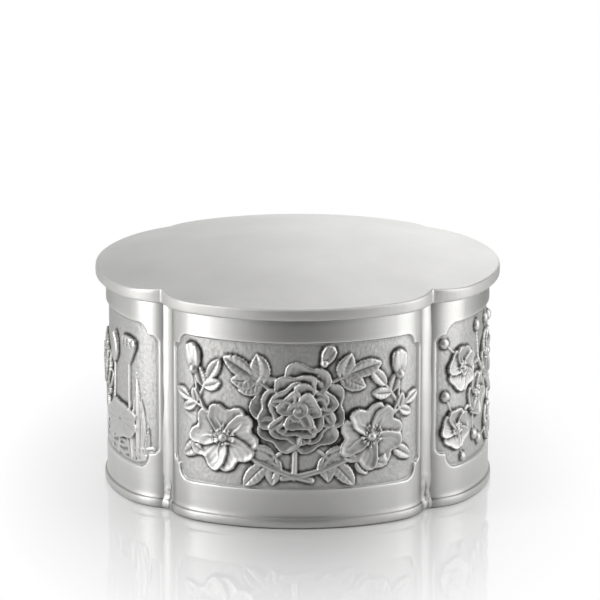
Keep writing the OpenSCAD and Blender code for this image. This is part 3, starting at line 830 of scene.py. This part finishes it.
def corner_run(side, material):
    """The solder in the corner after a wall: a hollow fillet with small pits and a crack at its foot."""
    dice = np.random.default_rng(SIDES[side] + 7)
    across = 17
    levels = np.concatenate([np.linspace(0.15, 8, 60), np.linspace(8.4, BODY_H - 0.05, 60)])
    section = wall_rows()
    outer = section[:section[:, 1].argmax()]
    d = np.interp(levels, outer[:, 1], outer[:, 0])
    points = []
    for off, z in zip(d, levels):
        x, y = fillet_points(off - SOLDER_SUNK, SOLDER_FILLET, across)
        points.append(np.column_stack([x, y, np.full(across, z)]))
    points = np.array(points)
    # A slow unevenness, and pits where the solder ran thin
    shift = 0.25 * blur(dice.normal(size=points.shape[:2]), 3)
    hollow = np.zeros(points.shape[:2])
    column = np.arange(across)[None, :]
    for _ in range(SOLDER_PITS):
        z = dice.uniform(1.9, 4.6)
        place = dice.uniform(0.4, 0.7) * (across - 1)
        size = dice.uniform(0.12, 0.2)
        off = (column - place) * SOLDER_STEP / size
        hollow = np.maximum(hollow, 0.8 * np.exp(-((levels[:, None] - z) / (1.8 * size)) ** 2 - off ** 2))
    # A fine crack runs up from the foot
    crack = 0.58 * (across - 1) + 0.6 * np.sin(levels * 1.7)[:, None]
    crack = np.exp(-((column - crack) * SOLDER_STEP / CRACK_W) ** 2)
    hollow = np.maximum(hollow, 0.85 * crack * smooth((CRACK_H - levels) / 2.5)[:, None])
    shift -= 0.2 * hollow
    inner = 1 - np.abs(np.linspace(-1, 1, across)) ** 4
    points[..., 0] += shift * inner / sqrt(2)
    points[..., 1] -= shift * inner / sqrt(2)
    # A dark seam along both edges
    seam = 0.55 * np.abs(np.linspace(-1, 1, across)) ** 6
    hollow = np.maximum(hollow, seam[None, :])
    # The run's back lies just inside the corner's crease
    root = tip(0) - SOLDER_ROOT
    back = np.array([[root, -root, z] for z in levels])
    points = np.concatenate([points, back[:, None, :]], 1)
    points = turned(points, SIDES[side])
    columns = across + 1
    quads = grid_faces(len(levels), columns, wrap_columns=True)
    caps = [list(range(columns))[::-1], list(range((len(levels) - 1) * columns, len(levels) * columns))]
    hollow = np.concatenate([hollow, np.zeros((len(levels), 1))], 1)
    piece = make(side + "_corner_run", points.reshape(-1, 3), quads, caps, material, {"hollow": hollow})
    settle(piece, "corner_solder")


# The lid

def dome(r):
    """Heights of a sphere of radius r round the dome's middle."""
    return lambda rho: CROWN_Z - DOME_R + np.sqrt(r * r - rho * rho)


def lid(material):
    """The domed lid with its rounded rim and the hollow under it."""
    edge = outline(LID_OVERHANG - RIM_BULGE - RIM_TOP_R)
    loops = [inward(edge, share, dome(DOME_R)) for share in np.linspace(0.02, 1, 40)]
    crest = loops[-1][:, 2]
    for a in np.radians((75, 60, 45, 30, 15, 0)):
        loop = outline(LID_OVERHANG - RIM_BULGE - RIM_TOP_R * (1 - cos(a)))
        loop[:, 2] = crest - RIM_TOP_R * (1 - sin(a))
        loops.append(loop)
    # The rim's face is a little convex
    for share in (0.85, 0.7, 0.5, 0.3, 0.15):
        loop = outline(LID_OVERHANG - RIM_BULGE * (2 * share - 1) ** 2)
        loop[:, 2] = SEAT_Z + RIM_LOW_R + share * (crest - RIM_TOP_R - SEAT_Z - RIM_LOW_R)
        loops.append(loop)
    loops += outlines(rounded(LID_OVERHANG - RIM_BULGE, SEAT_Z, RIM_LOW_R, (0, 22, 45, 68, 90)))
    loops.append(outline(-1.0, SEAT_Z))
    mouth = outline(-COLLAR_IN, SEAT_Z)
    loops.append(mouth)
    hollow = dome(DOME_R - DOME_T)
    # A small hollow round where the wall of the hollow meets its roof
    roof = inward(mouth, 1.0, hollow)[:, 2]
    for share in (0.5, 0.85):
        loop = mouth.copy()
        loop[:, 2] = SEAT_Z + share * (roof - SEAT_Z)
        loops.append(loop)
    loops += [inward(mouth, share, hollow) for share in np.linspace(0.99, 0.02, 20)]
    piece = round_piece("lid_casting", loops, material, low_cap=True, high_cap=True)
    settle(piece, "lid_plate", "lid")


def collar(material):
    """The band under the lid that drops inside the walls."""
    section = [(-COLLAR_OUT, SEAT_Z), (-COLLAR_OUT, COLLAR_MID_Z)]
    section += rounded(-COLLAR_OUT, COLLAR_Z, COLLAR_EDGE_R, (0, 45, 90))
    section += rounded(-COLLAR_IN, COLLAR_Z, COLLAR_EDGE_R, (90, 45, 0), side=1)
    section += [(-COLLAR_IN, COLLAR_MID_Z), (-COLLAR_IN, SEAT_Z)]
    piece = round_piece("lid_collar_band", outlines(section), material, wrap=True)
    settle(piece, "lid_collar", "lid")


# The bottom and the soft pieces

def base_plate(material):
    """The sheet that closes the bottom, with softly rounded edges."""
    r = BASE_EDGE_R
    loops = [inward(outline(-BASE_OUT - r, LEDGE_H), share) for share in np.linspace(0.05, 1, 12)]
    loops += outlines(rounded(-BASE_OUT, LEDGE_H, r, (60, 30, 0)))
    loops += outlines(rounded(-BASE_OUT, BASE_TOP, r, (0, 30, 60, 90), way=-1))
    loops += [inward(loops[-1], share) for share in np.linspace(0.97, 0.05, 12)]
    piece = round_piece("base_sheet", loops, material, low_cap=True, high_cap=True)
    settle(piece, "base_plate")


def soft_plate(name, d, low, high, r, crown, material, seed):
    """A soft plate on the box's plan: rounded edges, a crowned top and a slightly uneven skin."""
    dice = np.random.default_rng(seed)
    loops = [inward(outline(d - r, low), share) for share in np.linspace(0.04, 1, 14)]
    loops += outlines(rounded(d, low, r, (65, 40, 15)))
    loops += outlines(rounded(d, high, r, (0, 20, 40, 60, 80), way=-1))
    top = outline(d - r, high)
    for share in np.linspace(1, 0.04, 26):
        loop = inward(top, share)
        loop[:, 2] += crown * (1 - share ** 4)
        loops.append(loop)
    rough = blur(dice.normal(size=(len(loops), len(loops[0]))), 3)
    half = len(loops) // 2
    for k in range(half, len(loops)):
        loops[k][:, 2] += 0.25 * rough[k] * min(1, (k - half) / 4)
    return round_piece(name, loops, material, low_cap=True, high_cap=True)


def floor_pad(material):
    high = PAD_HIGH - PAD_CROWN - PAD_UNEVEN
    piece = soft_plate("velvet_floor_pad", -PAD_OUT, PAD_LOW, high, PAD_EDGE_R, PAD_CROWN, material, seed=3)
    settle(piece, "floor_pad")


def base_felt(material):
    d = -WALL_T - LEDGE_W - FELT_GAP
    piece = soft_plate("felt_underside", d, FELT_LOW, FELT_HIGH, FELT_EDGE_R, 0.0, material, seed=4)
    settle(piece, "base_felt")


def lining(side, material):
    """A velvet strip over card along a wall, with rounded edges all round."""
    dice = np.random.default_rng(SIDES[side] + 11)
    r = LINING_EDGE_R
    rows = [(-LINING_OUT - r, LINING_LOW)]
    rows += rounded(-LINING_OUT, LINING_LOW, r, (45, 0))
    rows += [(-LINING_OUT, z) for z in np.linspace(5, 38, 8)]
    rows += rounded(-LINING_OUT, LINING_HIGH, r, (0, 30, 60, 90), way=-1)
    rows += rounded(-LINING_IN, LINING_HIGH, r, (90, 60, 30, 0), side=1, way=-1)
    rows += [(-LINING_IN, z) for z in np.linspace(38, 5, 34)]
    rows += rounded(-LINING_IN, LINING_LOW, r, (0, 45), side=1)
    rows = np.array(rows)
    spread = np.linspace(-1, 1, 121)
    points = []
    for d, z in rows:
        x, y = wall_point(spread * (end_angle(d) - LINING_END), d)
        points.append(np.column_stack([x, y, np.full(len(x), z)]))
    points = np.array(points)
    rough = 0.12 * blur(dice.normal(size=points.shape[:2]), 3)
    away = np.hypot(points[..., 0], points[..., 1])
    inner = (rows[:, 0] <= -LINING_IN + 0.01)[:, None]
    points[..., :2] *= np.where(inner, 1 + rough / away, 1)[..., None]
    piece = wall_shell(side + "_velvet", side, points, material)
    settle(piece, side + "_lining")


# Materials

def fill_in(node, values):
    """Gives a node's sockets their values, each a plain one or another node's output."""
    for name, value in values.items():
        socket = node.inputs[name]
        if isinstance(value, bpy.types.NodeSocket):
            node.id_data.links.new(value, socket)
        else:
            socket.default_value = value


class Nodes:
    """A material's node tree with short ways to add nodes."""

    def __init__(self, name):
        self.material = bpy.data.materials.new(name)
        self.material.use_nodes = True
        self.tree = self.material.node_tree
        self.shader = self.tree.nodes["Principled BSDF"]
        self.place = self.add("ShaderNodeTexCoord").outputs["Object"]

    def add(self, kind, values=(), **settings):
        node = self.tree.nodes.new(kind)
        for name, value in settings.items():
            setattr(node, name, value)
        fill_in(node, dict(values))
        return node

    def noise(self, scale, stretch=(1, 1, 1), detail=2.0, roughness=0.55):
        """Noise in the object's own space: scale is per metre, and stretch makes it streaky."""
        mapping = self.add("ShaderNodeMapping", {"Scale": stretch, "Vector": self.place})
        return self.add("ShaderNodeTexNoise", {"Scale": scale, "Detail": detail, "Roughness": roughness,
                                               "Vector": mapping.outputs["Vector"]}).outputs["Fac"]

    def spread(self, value, low, high, to_low=0.0, to_high=1.0):
        return self.add("ShaderNodeMapRange", {"From Min": low, "From Max": high, "To Min": to_low,
                                               "To Max": to_high, "Value": value}).outputs["Result"]

    def math(self, operation, *values):
        return self.add("ShaderNodeMath", enumerate(values), operation=operation).outputs["Value"]

    def mix(self, share, a, b):
        """Mixes two colours; each is a socket or red, green and blue."""
        values = {"Factor": share, "A": a, "B": b}
        values.update((name, (*value, 1.0)) for name, value in values.items() if isinstance(value, tuple))
        return self.add("ShaderNodeMix", values, data_type="RGBA").outputs["Result"]

    def length(self, place):
        return self.add("ShaderNodeVectorMath", {0: place}, operation="LENGTH").outputs["Value"]

    def split(self, place):
        return self.add("ShaderNodeSeparateXYZ", {0: place}).outputs

    def value_of(self, name):
        return self.add("ShaderNodeAttribute", attribute_name=name).outputs["Fac"]

    def bump(self, layers):
        """Bumps stacked from (height, distance in metres) pairs."""
        values = {}
        for height, distance in layers:
            node = self.add("ShaderNodeBump", {"Distance": distance, "Height": height, **values})
            values = {"Normal": node.outputs["Normal"]}
        fill_in(self.shader, values)


BRIGHT_PEWTER = (0.58, 0.577, 0.562)
DULL_PEWTER = (0.52, 0.517, 0.502)
# Rubbed metal on the relief's lips, lighter than the bare pewter: partly a painted highlight
WORN_HIGHLIT_PEWTER = (0.72, 0.716, 0.70)
# The dark of patina in the hollows, also painted as shade in the creases, the corners and round the relief's
# feet
PATINA_AND_SHADE = (0.03, 0.029, 0.027)
# Heights between which the lid's filed rim begins
RIM_FILED = (46.1, 46.7)


def pewter(name, relief=False, rim=False, grain=0.00001):
    """Satin pewter: fine grain, faint brush lines round the box, dark patina in the hollows with painted
    shade in the creases and corners, and lighter lips on the relief with a painted highlight.
    """
    nodes = Nodes(name)
    cloud = nodes.noise(45, detail=4)
    brush = nodes.noise(1, stretch=(60, 60, 2600))
    upright = nodes.noise(1, stretch=(1500, 1500, 40))
    fine = nodes.noise(3800)
    rough = nodes.spread(fine, 0.3, 0.7, 0.36, 0.45)
    colour = nodes.mix(nodes.spread(cloud, 0.35, 0.65), BRIGHT_PEWTER, DULL_PEWTER)
    colour = nodes.mix(nodes.spread(brush, 0.3, 0.7, 0.0, 0.25), colour, DULL_PEWTER)
    dark = nodes.value_of("hollow")
    layers = [(brush, grain * 0.6), (upright, grain * 0.8), (fine, grain)]
    if relief:
        ground = nodes.value_of("ground")
        pebble = nodes.noise(2300, stretch=(1, 1, 0.6), detail=3)
        # The lips lighter, as rubbed metal and a painted highlight
        colour = nodes.mix(nodes.value_of("worn_and_highlit"), colour, WORN_HIGHLIT_PEWTER)
        dull = nodes.math("MULTIPLY", ground, nodes.spread(pebble, 0.3, 0.7, 0.24, 0.02))
        dark = nodes.math("MAXIMUM", dark, dull)
        layers.append((nodes.math("MULTIPLY", ground, pebble), grain * 7))
        rough = nodes.math("ADD", rough, nodes.math("MULTIPLY", ground, 0.1))
    if rim:
        # The lid's rim is filed upright
        low = nodes.spread(nodes.split(nodes.place)["Z"], RIM_FILED[1] * MM, RIM_FILED[0] * MM)
        filed = nodes.noise(1, stretch=(2600, 2600, 60))
        layers.append((nodes.math("MULTIPLY", low, filed), grain * 3))
        rough = nodes.math("ADD", rough, nodes.math("MULTIPLY", low, 0.17))
    # Patina and painted shade darken the colour
    colour = nodes.mix(dark, colour, PATINA_AND_SHADE)
    fill_in(nodes.shader, {"Metallic": 1.0, "Base Color": colour, "Roughness": rough})
    nodes.bump(layers)
    return nodes.material


def velvet():
    nodes = Nodes("velvet")
    nap = nodes.noise(60, detail=4)
    pile = nodes.noise(4500)
    colour = nodes.mix(nodes.spread(nap, 0.35, 0.65), (0.11, 0.007, 0.02), (0.2, 0.016, 0.038))
    colour = nodes.mix(nodes.spread(pile, 0.3, 0.7, 0.0, 0.5), colour, (0.05, 0.003, 0.01))
    fill_in(nodes.shader, {"Base Color": colour, "Roughness": 0.95, "Specular IOR Level": 0.2,
                           "Sheen Weight": 0.9, "Sheen Roughness": 0.35,
                           "Sheen Tint": (0.75, 0.18, 0.28, 1.0)})
    nodes.bump([(nap, 0.0002), (pile, 0.00006)])
    return nodes.material


def felt():
    nodes = Nodes("felt")
    fibre = nodes.noise(2600, detail=5, roughness=0.7)
    colour = nodes.mix(nodes.spread(fibre, 0.35, 0.65), (0.012, 0.012, 0.014), (0.035, 0.035, 0.038))
    fill_in(nodes.shader, {"Base Color": colour, "Roughness": 1.0, "Specular IOR Level": 0.15,
                           "Sheen Weight": 0.25, "Sheen Roughness": 0.5})
    nodes.bump([(fibre, 0.00012)])
    return nodes.material


# The studio

def turned_stage(name, profile, spokes, nodes, surface):
    """A round piece of the studio from its profile of radii and heights in metres, shaded by surface."""
    turns = np.arange(spokes) * 2 * pi / spokes
    points = [(r * cos(a), r * sin(a), z) for r, z in profile for a in turns]
    mesh = bpy.data.meshes.new(name)
    mesh.from_pydata(points, [], grid_faces(len(profile), spokes, wrap_columns=True).tolist())
    fill_in(nodes.tree.nodes["Material Output"], {"Surface": surface})
    piece = put(name, mesh, nodes.material)
    return piece


# The round table top in metres. It fades to white from an ellipse that reaches farther to the front
TABLE_R = 0.118
TABLE_Z = -0.0001
FADE_FROM = 0.022
FADE_TO = 0.064
FADE_DEEP = 0.5
EDGE_FROM = 0.085
EDGE_TO = 0.116


def floor():
    """A pale, slightly glossy table top that fades into the white background."""
    nodes = Nodes("white_acrylic")
    fill_in(nodes.shader, {"Base Color": (0.66, 0.66, 0.66, 1.0), "IOR": 1.8, "Roughness": 0.03})
    oval = nodes.add("ShaderNodeVectorMath", {0: nodes.place, 1: (1, FADE_DEEP, 1)}, operation="MULTIPLY")
    light = nodes.add("ShaderNodeLightPath").outputs
    seen = nodes.math("MAXIMUM", light["Is Camera Ray"], light["Is Glossy Ray"])
    seen = nodes.math("MAXIMUM", seen, light["Is Transmission Ray"])
    white = nodes.math("MAXIMUM", nodes.spread(nodes.length(oval.outputs[0]), FADE_FROM, FADE_TO),
                       nodes.spread(nodes.length(nodes.place), EDGE_FROM, EDGE_TO))
    glow = nodes.add("ShaderNodeEmission", {"Strength": 1.0})
    both = nodes.add("ShaderNodeMixShader", {0: nodes.math("MULTIPLY", seen, white),
                                             1: nodes.shader.outputs[0], 2: glow.outputs[0]})
    profile = [(r, 0.0) for r in np.linspace(TABLE_R, 0, 25)]
    turned_stage("table_top", profile, 96, nodes, both.outputs[0]).location.z = TABLE_Z


# Radius of the light tent in metres, its light away from the panels, and what is added towards the right
TENT_R = 2.2
TENT_LIGHT = 0.7
TENT_TILT = -0.24
# Panels on the tent: azimuth from the camera's side and elevation in degrees, their half widths, and the
# light that each adds or takes away; and the dark end round the camera, with the share that it takes away
PANELS = [(-68, 5, 10, 55, 4.6), (85, 5, 28, 55, 1.9), (168, 22, 15, 30, 0.95), (180, -24, 45, 22, -0.45)]
DARK_END = (-2.3, 0, 31, 45, 0.88)


def light_tent():
    """A round tent of light cloth about the box, with two tall side panels and a dark end in front."""
    nodes = Nodes("light_cloth")
    math = nodes.math
    x, y, z = nodes.split(nodes.place)
    azimuth = math("ARCTAN2", x, math("MULTIPLY", y, -1.0))
    elevation = math("ARCSINE", math("DIVIDE", z, TENT_R))

    def panel(middle_a, middle_e, half_a, half_e, light):
        """A soft-edged patch of the tent; it may reach round the back."""
        across = math("WRAP", math("SUBTRACT", azimuth, radians(middle_a)), -pi, pi)
        across = math("DIVIDE", across, radians(half_a))
        up = math("DIVIDE", math("SUBTRACT", elevation, radians(middle_e)), radians(half_e))
        away = math("ADD", *(math("POWER", math("ABSOLUTE", way), 4.0) for way in (across, up)))
        return math("MULTIPLY", math("EXPONENT", math("MULTIPLY", away, -1.0)), light)

    light = math("ADD", TENT_LIGHT, math("MULTIPLY", x, TENT_TILT / TENT_R))
    light = math("MULTIPLY", light, math("SUBTRACT", 1.0, panel(*DARK_END)))
    for place in PANELS:
        light = math("ADD", light, panel(*place))
    glow = nodes.add("ShaderNodeEmission", {"Strength": light})
    profile = [(TENT_R * cos(up), TENT_R * sin(up)) for up in np.linspace(-pi / 2, pi / 2, 25)]
    tent = turned_stage("light_tent", profile, 48, nodes, glow.outputs[0])
    tent.visible_camera = False
    tent.visible_transmission = False


def world():
    """The white background that the camera sees."""
    made = bpy.data.worlds.new("white")
    bpy.context.scene.world = made
    made.use_nodes = True
    fill_in(made.node_tree.nodes["Background"], {"Color": (1, 1, 1, 1), "Strength": 1.0})


# The photograph's frame and where the object's middle, 23.2 mm up, lies in it
FRAME_PX = 600
MIDDLE_PX = (297.7, 367.5)
MIDDLE_Z = 23.2
DISTANCE = 1024.0
ELEVATION = 15.08
AZIMUTH = 0.27
FOCAL_PX = 4843.0
SENSOR = 36.0


def camera():
    """The camera at the photograph's place, aimed so that the object's middle falls where it does there."""
    data = bpy.data.cameras.new("camera")
    data.sensor_width = SENSOR
    data.lens = FOCAL_PX / FRAME_PX * SENSOR
    data.clip_start = 0.01
    data.clip_end = 20
    eye = bpy.data.objects.new("camera", data)
    bpy.context.scene.collection.objects.link(eye)
    a, e = radians(AZIMUTH), radians(ELEVATION)
    back = Vector((sin(a) * cos(e), -cos(a) * cos(e), sin(e)))
    middle = Vector((0, 0, MIDDLE_Z)) * MM
    eye.location = middle + back * DISTANCE * MM
    side = Vector((cos(a), sin(a), 0))
    up = back.cross(side)
    off_x = (FRAME_PX / 2 - MIDDLE_PX[0]) * DISTANCE / FOCAL_PX
    off_y = (MIDDLE_PX[1] - FRAME_PX / 2) * DISTANCE / FOCAL_PX
    aim = middle + (side * off_x + up * off_y) * MM
    eye.rotation_euler = (aim - eye.location).to_track_quat("-Z", "Y").to_euler()
    bpy.context.scene.camera = eye


def main():
    bpy.context.scene.view_settings.view_transform = "Standard"
    camera()
    world()
    light_tent()
    floor()
    plain = pewter("pewter_plain")
    cast = pewter("pewter_cast", relief=True)
    solder = pewter("pewter_solder", grain=0.00002)
    cloth = velvet()
    for side in SIDES:
        wall(side, cast)
        lining(side, cloth)
    for side in SIDES:
        corner_run(side, solder)
    lid(pewter("pewter_lid", rim=True))
    collar(plain)
    base_plate(plain)
    base_felt(felt())
    floor_pad(cloth)


main()
